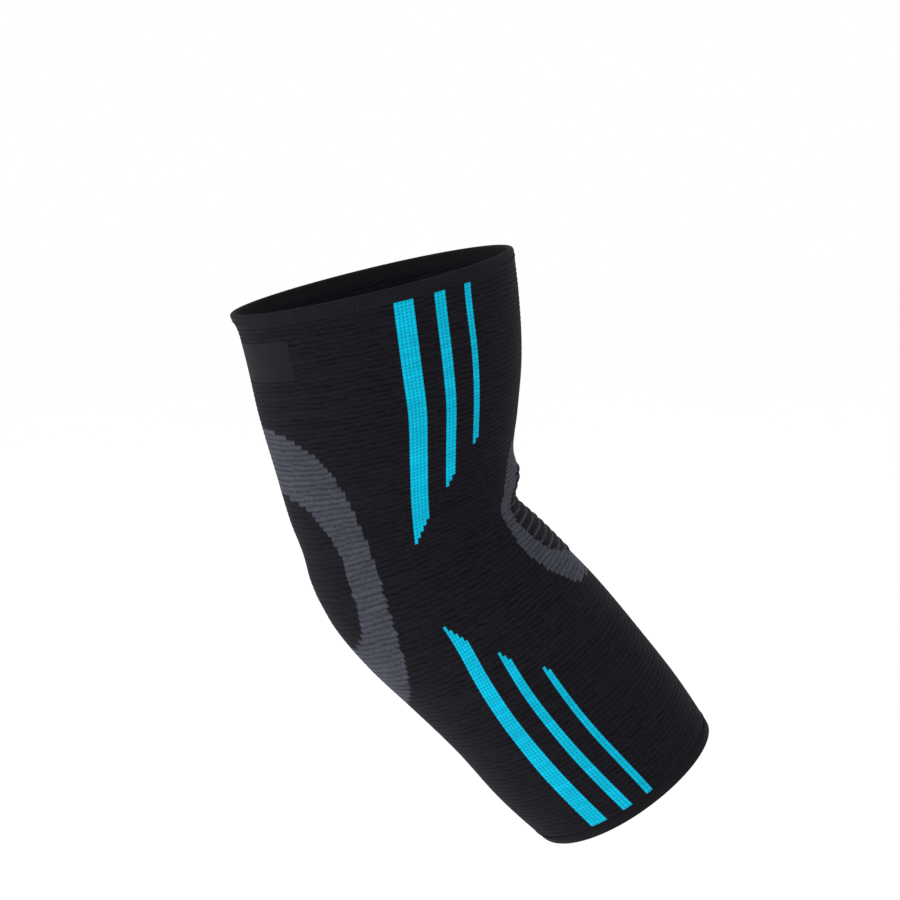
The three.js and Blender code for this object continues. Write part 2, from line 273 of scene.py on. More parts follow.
class SleeveColours(bpy.types.PropertyGroup):
    """Colours of the yarns and the floor, and of the painted shade in the knit's grooves"""

    black: colour("Black yarn", (21, 20, 26), "Main colour of the knit")
    # Painted shade: darker colour painted in the black knit's grooves and between its stitches
    groove: colour("Groove", (11, 10, 15), "Grooves of the black knit")
    welt: colour("Welt", (24, 24, 28), "Smooth black of the cuffs")
    grey: colour("Grey yarn", (62, 64, 72), "Ring and ladder")
    # Painted shade: darker colour painted in the grey knit's grooves and between its stitches
    grey_groove_shade: colour("Grey groove", (46, 47, 55), "Grooves of the grey knit")
    cyan: colour("Cyan yarn", (4, 172, 203), "Main colour of the stripes")
    cyan_dot: colour("Cyan dot", (0, 105, 135), "Small holes in the stripes")
    patch: colour("Patch", (24, 23, 29), "Smooth patch on the back")
    upper_thread: colour("Upper thread", (34, 33, 39), "Stitches along the upper cuff")
    lower_thread: colour("Lower thread", (12, 12, 15), "Stitches along the lower cuff")
    floor: colour("Floor", (255, 255, 255), "Plain pale floor")


class StageForm(bpy.types.PropertyGroup):
    """Camera and floor"""

    azimuth: angle("Azimuth", -7.5, "Camera's turn round the sleeve")
    elevation: angle("Elevation", 9.8, "Camera's angle over the horizon")
    distance: length("Distance", 800, "Distance of the camera from the elbow")
    aim_right: length("Aim right", 15.6, "Where the camera aims, right of the elbow")
    aim_up: length("Aim up", 37.8, "Where the camera aims, over the elbow")
    frame_width: length("Frame width", 378, "Width of the picture at the elbow")
    floor_drop: length("Floor drop", 330, "Height of the sleeve over the floor")
    floor_radius: length("Floor radius", 7000, "Radius of the floor")


class SleeveSettings(bpy.types.PropertyGroup):
    """All settings of the sleeve"""

    form: PointerProperty(type=SleeveForm)
    knit: PointerProperty(type=KnitForm)
    zones: PointerProperty(type=ZoneForm)
    colours: PointerProperty(type=SleeveColours)
    stage: PointerProperty(type=StageForm)


def settings():
    """The scene's settings of the sleeve."""
    return bpy.context.scene.elbow_sleeve


# Form of the sleeve


def read_table(table, column, at):
    """Smooth curve through a table's rows: cubic pieces with three-point slopes."""
    x, y = np.array(table["along"], float), np.array(table[column], float)
    h = np.diff(x)
    rise = np.diff(y) / h
    slope = np.empty_like(y)
    slope[1:-1] = (h[1:] * rise[:-1] + h[:-1] * rise[1:]) / (h[1:] + h[:-1])
    slope[0] = 2 * rise[0] - slope[1]
    slope[-1] = 2 * rise[-1] - slope[-2]
    i = np.clip(np.searchsorted(x, at) - 1, 0, len(h) - 1)
    t = np.clip((at - x[i]) / h[i], 0, 1)
    start = (1 + 2 * t) * (1 - t) ** 2 * y[i] + t * (1 - t) ** 2 * h[i] * slope[i]
    return start + t * t * (3 - 2 * t) * y[i + 1] + t * t * (t - 1) * h[i] * slope[i + 1]


def smooth_step(t):
    """Rises smoothly from 0 to 1 as t does."""
    t = np.clip(t, 0, 1)
    return t * t * (3 - 2 * t)


def centre_line(form, s):
    """x and z of the middle line at s: two straight stretches joined by an arc at the elbow."""
    half_arc = form.bend_radius * form.bend / 2
    up = np.array([-math.sin(form.lean), math.cos(form.lean)])
    down = np.array([math.sin(form.lean + form.bend), -math.cos(form.lean + form.bend)])
    front = np.array([math.cos(form.lean), math.sin(form.lean)])
    middle = up * form.bend_radius * math.tan(form.bend / 2) + front * form.bend_radius
    turn = form.lean + (half_arc - np.clip(s, -half_arc, half_arc)) / form.bend_radius
    points = middle - form.bend_radius * np.stack([np.cos(turn), np.sin(turn)], -1)
    points = points + up * np.maximum(s - half_arc, 0)[..., None]
    return points + down * np.maximum(-s - half_arc, 0)[..., None]


def face_point(form, s, around):
    """Points of the outer face: s along the sleeve, around it from the front toward +Y."""
    above = s > 0
    along = np.where(above, s / form.upper_length, s / form.lower_length)
    rim = np.where(above, form.upper_depth, form.lower_depth)
    half = (form.elbow_depth + (rim - form.elbow_depth) * np.abs(along)) / 2
    front = read_table(SECTIONS, "front", along) * half
    back = read_table(SECTIONS, "back", along) * half
    side = read_table(SECTIONS, "side", along) * (front + back) / 2
    turned = smooth_step(0.5 - s / form.turn_length)
    tilt = form.upper_tilt + (form.lower_tilt - form.upper_tilt) * turned
    reach = np.where(np.cos(around) > 0, front, back) * np.cos(around)
    middle = centre_line(form, s)
    x = middle[..., 0] + reach * np.cos(tilt)
    z = middle[..., 1] + reach * np.sin(tilt)
    return np.stack([x, side * np.sin(around), z], -1)


def face_normal(form, s, around):
    """Outward unit normals of the outer face."""
    step, turn = 0.5 * MM, 0.01
    along = face_point(form, s + step, around) - face_point(form, s - step, around)
    round_it = face_point(form, s, around + turn) - face_point(form, s, around - turn)
    normal = np.cross(round_it, along)
    return normal / np.linalg.norm(normal, axis=-1, keepdims=True)


def soft_form(s, around):
    """How far the worn knit stands out from the plain form: rim curl, crook fold and waves."""
    form, knit = settings().form, settings().knit
    towards_back = 0.5 - 0.5 * np.cos(around)
    curl = smooth_step(1 - (form.upper_length - s) / form.flare_height) ** 2
    out = form.flare * curl * towards_back**2
    in_crook = np.exp(-((np.angle(np.exp(1j * around)) / knit.crook_spread) ** 2))
    fold = np.exp(-(((s - knit.fold_rise) / knit.fold_reach) ** 2))
    crease = np.exp(-(((s - knit.crease_rise) / knit.crease_reach) ** 2))
    out = out + in_crook * (knit.crook_fold * fold - knit.crook_crease * crease)
    chance = np.random.default_rng(knit.seed)
    for _ in range(WAVES["number"]):
        turns = chance.integers(*WAVES["around"])
        per_metre = chance.uniform(*WAVES["per_metre"])
        phase = chance.uniform(0, 2 * math.pi, 2)
        along = np.sin(2 * math.pi * per_metre * s + phase[1])
        out = out + knit.waves * np.sin(turns * around + phase[0]) * along
    return out


def knit_point(s, around, out):
    """Points at a distance out from the worn knit's outer face."""
    form = settings().form
    normal = face_normal(form, s, around)
    return face_point(form, s, around) + normal * (out + soft_form(s, around))[..., None]


class Lattice:
    """Corners and cells of the knit: a row of cells for each part of a rib, a column for each
    wale. Column 0 starts at the front; rows run from the lower cuff to the upper one."""

    def __init__(self):
        form, knit = settings().form, settings().knit
        self.wales = knit.wales
        self.ribs = knit.ribs_below + knit.ribs_above
        self.per_rib = len(RIB_ROWS)
        low, high = -form.lower_length + form.cuff_height, form.upper_length - form.cuff_height
        below = np.linspace(low, 0, knit.ribs_below + 1)
        above = np.linspace(0, high, knit.ribs_above + 1)
        self.rib_edges = np.concatenate([below, above[1:]])
        spans, rows = np.diff(self.rib_edges), np.array(RIB_ROWS)
        starts = self.rib_edges[:-1, None] + spans[:, None] * rows
        self.row_s = np.append(starts.ravel(), high)
        self.row_rib = np.append((np.arange(self.ribs)[:, None] + rows).ravel(), self.ribs)
        self.cell_rib = np.repeat(np.arange(self.ribs), self.per_rib)
        self.rib_s = (self.rib_edges[:-1] + self.rib_edges[1:]) / 2
        self.labels = 2 * math.pi * np.arange(self.wales + 1) / self.wales

    def around(self, s, label):
        """Angle round the sleeve of a wale's label at s; the wales fan out towards the cuffs."""
        s, label = np.broadcast_arrays(s, label)
        signed = np.angle(np.exp(1j * label)) / (2 * math.pi) * self.wales
        turned = np.empty(s.shape)
        for at in np.unique(s):
            row = s == at
            turned[row] = self.fan(at, np.abs(signed[row]))
        return np.sign(signed) * np.radians(turned)

    def fan(self, s, columns):
        """Angle in degrees round from the front of columns counted from there, at one s."""
        form = settings().form
        end = "upper" if s > 0 else "lower"
        share = min(abs(s) / (form.upper_length if s > 0 else form.lower_length), 1)
        table = COLUMN_FAN[end]
        width = read_table(table, "column", share)
        counts, angles = [0], [0]
        for stripe_end, number, (first, last), _ in reversed(STRIPES):
            if stripe_end == end:
                middle = read_table(table, f"middle_{number}", share)
                half = width * (last - first) / 2
                counts += [first, last]
                angles += [middle - half, middle + half]
        return np.interp(columns, counts + [self.wales / 2], angles + [180])

    def corners(self, s, out):
        """Points of the lattice's corners on given rows, each at a distance out."""
        s, label = np.broadcast_arrays(s[:, None], self.labels[None, :-1])
        knit = settings().knit
        phase = np.random.default_rng(knit.seed + 1).uniform(0, 2 * math.pi, 3)
        # The ribs wander in a wave that comes and goes round the sleeve, with a finer one on top
        turns, climb, swells, fine_turns, fine_climb, fade = 3, 190, 7, 17, 400, 3 * MM
        drift = np.sin(turns * label + climb * s + phase[0]) * np.sin(swells * label + phase[1])
        drift = drift + 0.5 * np.sin(fine_turns * label - fine_climb * s + phase[2])
        from_cuffs = np.minimum(s - self.row_s[0], self.row_s[-1] - s)
        drift = drift * knit.wander * smooth_step(from_cuffs / fade)
        return knit_point(s + drift, self.around(s, label), out)

    def arcs(self):
        """Distance of each cell's middle round from the front, and the whole way round, by rib."""
        around = self.around(self.rib_s[:, None], self.labels[None, :])
        s = np.broadcast_to(self.rib_s[:, None], around.shape)
        edges = face_point(settings().form, s, around)
        steps = np.linalg.norm(np.diff(edges, axis=1), axis=-1)
        total = np.cumsum(steps, axis=1)
        return total - steps / 2, total[:, -1:]


@lru_cache(maxsize=None)
def lattice():
    """The knit's lattice, worked out once."""
    return Lattice()


def rounded_half(share, squareness):
    """Share of the half width of a rounded outline at a share of its height."""
    height = np.clip(np.abs(2 * share - 1), 0, 1)
    return (1 - height**squareness) ** (1 / squareness)


@lru_cache(maxsize=None)
def zone_shapes():
    """Outlines of the ring, the ladder, its bars and the patch: a row of cells for each rib."""
    zones = settings().zones
    from_front, girth = lattice().arcs()
    front = np.minimum(from_front, girth - from_front)
    back = girth / 2 - front
    s = lattice().rib_s[:, None]

    def behind(low, high, half, squareness):
        share = (s - low) / (high - low)
        rounded = rounded_half(share, np.where(share > 0.5, squareness[1], squareness[0]))
        return (share > 0) & (share < 1) & (back < half * rounded)

    def in_front(low, high, half, outline):
        share = (s - low) / (high - low)
        width = half * read_table(outline, "half", np.clip(share, 0, 1))
        return (share > 0) & (share < 1) & (front < width)

    ring = behind(zones.ring_bottom, zones.ring_top, zones.ring_half, RING_SQUARENESS)
    window = zones.window_bottom, zones.window_top, zones.window_half
    ring &= ~behind(*window, WINDOW_SQUARENESS)
    crook = in_front(zones.crook_bottom, zones.crook_top, zones.crook_half, CROOK_OUTLINE)
    bars = in_front(zones.bars_bottom, zones.bars_top, zones.bars_half, BARS_OUTLINE)
    label = (s < zones.label_top) & (s > zones.label_top - zones.label_height)
    label = label & (back < zones.label_half)
    return {"ring": ring, "ladder": crook, "bars": bars, "patch": label}


@lru_cache(maxsize=None)
def zone_cells():
    """Cells of each colour zone, by the name of the node that the zone stands for."""
    grid, shapes = lattice(), zone_shapes()
    rows = grid.cell_rib
    part = np.arange(len(rows)) % grid.per_rib
    odd = rows % 2 == 1
    rung = (odd & (part == grid.per_rib - 1)) | (~odd & (part == 0))
    cells = {
        "elbow_ring": shapes["ring"][rows],
        "crook_panel": shapes["ladder"][rows] & ~(shapes["bars"][rows] & ~rung[:, None]),
        "label": shapes["patch"][rows],
    }
    for end, number, columns, tip in STRIPES:
        far_side = stripe_cells(end, columns, tip)[rows]
        cells[f"stripe_{end}_{number}"] = far_side[:, ::-1]
        cells[f"stripe_{end}_{number + 3}"] = far_side
    return cells


def stripe_cells(end, columns, tip):
    """Cells of one tapered stripe of the far side, one row for each rib."""
    grid, form = lattice(), settings().form
    first, last = columns
    cells = np.zeros((grid.ribs, grid.wales), bool)
    sign, reach = (1, form.upper_length) if end == "upper" else (-1, form.lower_length)
    past_tip = sign * grid.rib_s - tip * reach
    inside = [rib for rib in np.argsort(past_tip) if past_tip[rib] > 0]
    for rank, rib in enumerate(inside):
        cells[rib, max(first, last - 1 - rank) : last] = True
    return cells


# Meshes


def add_object(name, data):
    """A new object in the scene."""
    made = bpy.data.objects.new(name, data)
    bpy.context.scene.collection.objects.link(made)
    return made


def add_mesh(name, points, faces, material):
    """A new smooth mesh object in the scene."""
    mesh = bpy.data.meshes.new(name)
    mesh.from_pydata(points, [], faces, shade_flat=False)
    mesh.validate()
    mesh.materials.append(material)
    return add_object(name, mesh)


class MeshMaker:
    """Collects corners and faces of one piece, with the knit's own UV coordinates."""

    def __init__(self):
        self.points, self.uvs, self.faces, self.count = [], [], [], 0

    def add_rows(self, points, v):
        """Adds rows of points, one for each wale, and returns their numbers. Their u counts
        wales round from the front."""
        u, v = np.meshgrid(np.arange(points.shape[1], dtype=float), v)
        numbers = self.count + np.arange(u.size).reshape(u.shape)
        self.points.append(points.reshape(-1, 3))
        self.uvs.append(np.stack([u, v], -1).reshape(-1, 2))
        self.count += numbers.size
        return numbers

    def add_sheet(self, out):
        """Adds the lattice's corners on all its rows, at a distance out."""
        grid = lattice()
        return self.add_rows(grid.corners(grid.row_s, out), grid.row_rib)

    def add_faces(self, *corners):
        """Adds four-cornered faces from arrays of point numbers."""
        self.faces.append(np.stack([np.asarray(c).ravel() for c in corners], -1))

    def build(self, name, material):
        """Makes the mesh object. A face across the knit's seam gets its last column's own u."""
        wales = settings().knit.wales
        faces = np.concatenate(self.faces)
        used, flat = np.unique(faces, return_inverse=True)
        faces = flat.reshape(faces.shape)
        piece = add_mesh(name, np.concatenate(self.points)[used], faces, material)
        corner_uv = np.concatenate(self.uvs)[used][faces]
        across = corner_uv[:, :, 0]
        wraps = np.ptp(across, axis=1) > wales / 2
        across += np.where(wraps[:, None] & (across < wales / 2), wales, 0)
        layer = piece.data.uv_layers.new(name="knit")
        layer.data.foreach_set("uv", corner_uv.astype(np.float32).ravel())
        piece.data.set_sharp_from_angle(angle=SHARP_EDGE)
        return piece


def next_column(numbers):
    """The same points, one column further round."""
    return np.roll(numbers, -1, axis=1)


@lru_cache(maxsize=None)
def rib_relief():
    """How far each corner of the lattice lies out: grooves between ribs, each rib a little its
    own, and in the ladder's bars a swell over each pair of ribs instead."""
    knit, grid = settings().knit, lattice()
    chance = np.random.default_rng(knit.seed + 2)
    unevenness = chance.uniform(*GROOVE_SPREAD, grid.ribs)
    drops = np.append((unevenness[:, None] * np.array(RIB_DROP)).ravel(), RIB_DROP[0])
    ribbed = -knit.rib_depth * drops[:, None]
    swell = knit.bar_bulge * np.abs(np.sin(math.pi * grid.row_rib / 2))[:, None]
    bars = zone_shapes()["bars"].astype(float)
    bars = np.vstack([bars[grid.cell_rib], bars[-1:]])
    share = sum(np.roll(bars, shift, axis=1) for shift in (-1, 0, 1, 2)) / 4
    return ribbed + share * (swell - ribbed)


def cell_corners(numbers):
    """The four corners of every cell on a sheet of points, counter-clockwise seen from outside."""
    return numbers[:-1], next_column(numbers)[:-1], next_column(numbers)[1:], numbers[1:]


def cell_faces(maker, numbers, cells, outward=True):
    """Adds the faces of the chosen cells on a sheet of points."""
    picked = [x[cells] for x in cell_corners(numbers)]
    maker.add_faces(*(picked if outward else picked[::-1]))


def cell_walls(maker, top, floor, cells):
    """Adds the walls from top to floor round the chosen cells, facing away from them."""
    padded = np.vstack([np.zeros(cells.shape[1], bool), cells, np.zeros(cells.shape[1], bool)])
    below, above = cells & ~padded[:-2], cells & ~padded[2:]
    left, right = cells & ~np.roll(cells, 1, axis=1), cells & ~np.roll(cells, -1, axis=1)
    top, floor = cell_corners(top), cell_corners(floor)
    for side, a, b in ((below, 0, 1), (above, 2, 3), (left, 3, 0), (right, 1, 2)):
        maker.add_faces(floor[a][side], floor[b][side], top[b][side], top[a][side])


def finish_piece(piece, slot, *nodes):
    """Hangs a piece on the part's one body and hides the imported nodes that it stands for."""
    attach(piece, "root")
    if nodes:
        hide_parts(*nodes)
    return piece


# Materials


class Number:
    """A number that a material works out. Sums with it make Math nodes."""

    def __init__(self, recipe, socket):
        self.recipe, self.socket = recipe, socket

    def math(self, operation, *others, clamp=False):
        """A Math node on this number and others."""
        return self.recipe.math(operation, self, *others, clamp=clamp)

    def __add__(self, other):
        return self.math("ADD", other)

    def __sub__(self, other):
        return self.math("SUBTRACT", other)

    def __rsub__(self, other):
        return self.recipe.math("SUBTRACT", other, self)

    def __mul__(self, other):
        return self.math("MULTIPLY", other)

    def __truediv__(self, other):
        return self.math("DIVIDE", other)

    def __abs__(self):
        return self.math("ABSOLUTE")

    def scaled(self, factor, plus, clamp=False):
        """The number times a factor, plus another."""
        return self.math("MULTIPLY_ADD", factor, plus, clamp=clamp)

    def varied(self, amount):
        """From half the amount under 1 to half above it, as the number goes from 0 to 1."""
        return self.scaled(amount, 1 - amount / 2)

    def under(self, limit):
        """How far the number is under a limit, held between 0 and 1."""
        return self.recipe.math("SUBTRACT", limit, self, clamp=True)

    def humps(self):
        """0 at each whole number and 1 halfway between two."""
        return abs((self * math.pi).math("SINE"))

    def from_middle(self):
        """How far the number is past the middle between two whole numbers."""
        return self.math("FRACT") - 0.5


class Recipe:
    """Short words for making a material's nodes."""

    def __init__(self, name):
        self.material = bpy.data.materials.new(name)
        self.material.use_nodes = True
        self.tree = self.material.node_tree
        self.shader = self.tree.nodes["Principled BSDF"]

    def node(self, kind, **values):
        """A new node; values name its properties or, with a leading in_, its inputs."""
        made = self.tree.nodes.new(kind)
        for name, value in values.items():
            if name.startswith("in_"):
                self.feed(value, made.inputs[name[3:].replace("_", " ")])
            else:
                setattr(made, name, value)
        return made

    def feed(self, value, target):
        """Gives an input a number, a colour or another node's output."""
        value = value.socket if isinstance(value, Number) else value
        if isinstance(value, bpy.types.NodeSocket):
            self.tree.links.new(value, target)
        elif isinstance(value, (int, float)):
            target.default_value = value
        else:
            target.default_value = (*value, 1)

    def math(self, operation, *values, clamp=False):
        """The number that a Math node gives."""
        made = self.node("ShaderNodeMath", operation=operation, use_clamp=clamp)
        for value, target in zip(values, made.inputs):
            self.feed(value, target)
        return Number(self, made.outputs[0])

    def split(self, source):
        """The three numbers of a vector or a colour."""
        made = self.node("ShaderNodeSeparateXYZ", in_Vector=source)
        return [Number(self, output) for output in made.outputs]

    def mix(self, share, first, second, blend="MIX"):
        """A colour between two."""
        made = self.node("ShaderNodeMix", data_type="RGBA", blend_type=blend)
        for number, value in ((0, share), (6, first), (7, second)):
            self.feed(value, made.inputs[number])
        return made.outputs[2]

    def fuzz(self, scale, detail=3.0):
        """Fine fibre noise, fixed in the piece."""
        noise = self.node("ShaderNodeTexNoise", in_Scale=scale, in_Detail=detail, in_Roughness=0.6)
        self.feed(self.node("ShaderNodeTexCoord").outputs["Object"], noise.inputs["Vector"])
        return Number(self, noise.outputs[0])

    def bump(self, height, strength, distance):
        """Roughens the surface by a height, through a Bump node."""
        made = self.node("ShaderNodeBump", in_Strength=strength, in_Distance=distance)
        self.feed(height, made.inputs["Height"])
        self.feed(made.outputs["Normal"], self.shader.inputs["Normal"])

    def shade(self, base, brightness, mask=None, marked=None):
        """Sets the colour: base times a brightness, and marked where the mask is 1."""
        tint = self.node("ShaderNodeCombineColor")
        for target in tint.inputs:
            self.feed(brightness, target)
        base = self.mix(1.0, base, tint.outputs[0], blend="MULTIPLY")
        if mask:
            base = self.mix(mask, base, marked)
        self.feed(base, self.shader.inputs["Base Color"])

    def finish(self, roughness, specular=0.06, sheen=0.016):
        """Sets the shine that is the same all over, and gives the material."""
        shine = {"Roughness": roughness, "Specular IOR Level": specular, "Sheen Weight": sheen}
        for name, value in {**SHEEN, **shine}.items():
            self.feed(value, self.shader.inputs[name])
        return self.material


def knit_pattern(recipe):
    """The knit's repeat: u in wales, v in ribs, wandering by up to a quarter of one, straight,
    which is v without that, and a stitch's height."""
    u, straight, _ = recipe.split(recipe.node("ShaderNodeUVMap", uv_map="knit").outputs[0])
    v = (recipe.fuzz(WANDER, detail=1.0) - 0.5).scaled(0.5, straight)
    # Each half of a wale leans, so that the two halves of a stitch meet like a V
    course = v.scaled(2.0, abs(u.from_middle())).humps()
    return {"u": u, "v": v, "straight": straight, "stitch": u.humps() * course}


def random_at(column, row, seed):
    """Random numbers for a pair of whole numbers: one alone, and three as a colour."""
    recipe = column.recipe
    cell = recipe.node("ShaderNodeCombineXYZ", in_X=column, in_Y=row, in_Z=float(seed))
    noise = recipe.node("ShaderNodeTexWhiteNoise", in_Vector=cell.outputs[0])
    return Number(recipe, noise.outputs["Value"]), noise.outputs["Color"]


def cell_noise(pattern, u_step, v_step, seed):
    """A random number for each block of u_step wales by v_step ribs."""
    column = (pattern["u"] / u_step).math("FLOOR")
    return random_at(column, (pattern["v"] / v_step).math("FLOOR"), seed)[0]


def groove_shade_lines(recipe, pattern, faintest, run, spread):
    """1 in the lines of painted shade in the grooves between ribs, which are broken into slanting
    runs.
    """
    slant, half_width, crispness, end_rise = 0.24, 0.27, 1.8, 5.0
    row = (pattern["v"] + 0.5).math("FLOOR")
    place = pattern["u"] / run + random_at(row, row, 1)[0]
    step, strength, _ = recipe.split(random_at(place.math("FLOOR"), row, 2)[1])
    inside = place.from_middle()
    offset = inside.scaled(slant, step * spread - spread / 2)
    away = abs(pattern["v"] - row + offset) / half_width
    line = away.under(1.0).math("MULTIPLY", crispness, clamp=True)
    ends = (0.5 - abs(inside)).scaled(end_rise, faintest, clamp=True)
    return line * ends * strength.scaled(1 - faintest, faintest)


def dot_mask(pattern):
    """1 in the small holes between two wales, three for each two ribs."""
    half_width, half_height = 0.22, 0.28
    across = (pattern["u"] + 0.5).from_middle() / half_width
    along = (pattern["straight"] * 1.5).from_middle() / half_height
    distance = (across.math("POWER", 2.0) + along.math("POWER", 2.0)).math("SQRT")
    soft_edge, strength = 1.5, 0.85
    return distance.under(soft_edge) * strength


def knit_material(name, yarns, lines=BLACK_GROOVE_SHADE, uneven=0.3, sheen=0.016, dot=None):
    """Ribbed knit: stitches on the ribs, painted shade in broken lines between ribs and between
    stitches, and uneven yarn.
    """
    recipe = Recipe(name)
    pattern = knit_pattern(recipe)
    # The second colour is painted shade, laid in the grooves and between the stitches
    crown, groove = yarns
    # The broken lines of painted shade in the grooves between ribs
    dark = groove_shade_lines(recipe, pattern, **lines)
    gap_shade_strength, whole_row, stitch_height = 0.12, 400.0, 0.45
    # Painted shade between the stitches: their hollows are painted towards the groove colour
    gap_shade = (1.0 - pattern["stitch"]).math("POWER", 2.0) * gap_shade_strength
    base = recipe.mix(gap_shade, recipe.mix(dark, crown, groove), groove)
    bright = cell_noise(pattern, u_step=1.0, v_step=0.5, seed=3).varied(uneven)
    bright = bright * cell_noise(pattern, u_step=whole_row, v_step=1.0, seed=5).varied(0.14)
    mask = dot_mask(pattern) if dot else None
    recipe.shade(base, bright * recipe.fuzz(90.0).varied(0.4), mask, dot)
    height = dark.scaled(-1.0, pattern["stitch"] * stitch_height)
    recipe.bump(recipe.fuzz(FIBRES).scaled(0.45, height), strength=0.55, distance=0.35 * MM)
    return recipe.finish(roughness=0.82, sheen=sheen)


def welt_material(name, base_colour):
    """Smooth, finer knit of the cuffs, with fine rows along the rim and painted shade between its
    stitches.
    """
    recipe = Recipe(name)
    stitch = knit_pattern(recipe)["stitch"]
    # Painted shade: the hollows between stitches are painted a fifth darker than the crowns
    recipe.shade(base_colour, stitch.scaled(0.2, 0.8) * recipe.fuzz(120.0).varied(0.6))
    recipe.bump(recipe.fuzz(FIBRES).scaled(0.6, stitch), strength=0.3, distance=0.2 * MM)
    return recipe.finish(roughness=0.8)


def patch_material(name, base_colour):
    """Tight, flat cloth of the patch: fine diagonal twill, with painted shade in its hollows."""
    recipe = Recipe(name)
    pattern = knit_pattern(recipe)
    twill = ((pattern["u"] + pattern["straight"]) * 4.0).humps()
    # Painted shade: the twill's hollows are painted darker than its ridges
    recipe.shade(base_colour, twill.scaled(0.2, 0.85) * recipe.fuzz(150.0).varied(0.4))
    recipe.bump(twill, strength=0.25, distance=0.1 * MM)
    return recipe.finish(roughness=0.7, specular=0.05)


def thread_material(name, base_colour):
    """Twisted sewing thread."""
    recipe = Recipe(name)
    recipe.shade(base_colour, recipe.fuzz(1800.0).scaled(0.5, 0.7))
    recipe.bump(recipe.fuzz(3000.0), strength=0.4, distance=0.1 * MM)
    return recipe.finish(roughness=0.7)


# Operators


class SLEEVE_OT_knit_tube(bpy.types.Operator):
    """Make the ribbed black tube, with a shallow bed for each colour zone"""

    bl_idname = "sleeve.knit_tube"
    bl_label = "Knit Tube"

    def execute(self, context):
        form, knit, colours = settings().form, settings().knit, settings().colours
        grid, maker = lattice(), MeshMaker()
        coloured = np.any(list(zone_cells().values()), axis=0)
        top = maker.add_sheet(rib_relief())
        floor = maker.add_sheet(-knit.inlay_depth - BED_GAP)
        cell_faces(maker, top, ~coloured)
        cell_faces(maker, floor, coloured)
        cell_walls(maker, top, floor, ~coloured)
        rows = np.unique(np.append(np.arange(0, grid.ribs, INNER_STEP), grid.ribs))
        inner = maker.add_rows(grid.corners(grid.rib_edges[rows], -form.wall), rows)
        cell_faces(maker, inner, np.ones((len(rows) - 1, grid.wales), bool), outward=False)
        for lower, upper in ((inner[:1], floor[:1]), (floor[-1:], inner[-1:])):
            maker.add_faces(lower, next_column(lower), next_column(upper), upper)
        material = knit_material("Black ribbed knit", (colours.black, colours.groove))
        piece = maker.build("knit_tube", material)
        finish_piece(piece, "black_knit", "sleeve_body")
        return {"FINISHED"}


def zone_piece(name, node, slot, material, flat=False):
    """One colour zone as a thin piece of the same knit, ribbed or flat, set in its bed."""
    maker, cells = MeshMaker(), zone_cells()[node]
    top = maker.add_sheet(0.0 if flat else rib_relief())
    floor = maker.add_sheet(-settings().knit.inlay_depth)
    cell_faces(maker, top, cells)
    cell_faces(maker, floor, cells, outward=False)
    cell_walls(maker, top, floor, cells)
    return finish_piece(maker.build(name, material), slot, node)


class SLEEVE_OT_grey_zones(bpy.types.Operator):
    """Make the grey ring over the elbow and the grey ladder in the crook"""

    bl_idname = "sleeve.grey_zones"
    bl_label = "Grey Zones"

    def execute(self, context):
        colours = settings().colours
        yarns = colours.grey, colours.grey_groove_shade
        grey = knit_material("Grey ribbed knit", yarns, lines=GREY_GROOVE_SHADE, sheen=0.03)
        zone_piece("grey_ring", "elbow_ring", "grey_knit", grey)
        zone_piece("grey_ladder", "crook_panel", "grey_knit", grey)
        return {"FINISHED"}


class SLEEVE_OT_stripes(bpy.types.Operator):
    """Make the tapered cyan stripes on both sides"""

    bl_idname = "sleeve.stripes"
    bl_label = "Cyan Stripes"

    def execute(self, context):
        colours = settings().colours
        yarns = colours.cyan, colours.cyan
        cyan = knit_material("Cyan dotted knit", yarns, uneven=0.12, dot=colours.cyan_dot)
        for node in zone_cells():
            if node.startswith("stripe"):
                zone_piece("cyan_" + node, node, "cyan_knit", cyan)
        return {"FINISHED"}


class SLEEVE_OT_patch(bpy.types.Operator):
    """Make the smooth patch on the back of the upper half"""

    bl_idname = "sleeve.patch"
    bl_label = "Back Patch"

    def execute(self, context):
        material = patch_material("Smooth patch cloth", settings().colours.patch)
        zone_piece("back_patch", "label", "label_cloth", material, flat=True)
        return {"FINISHED"}


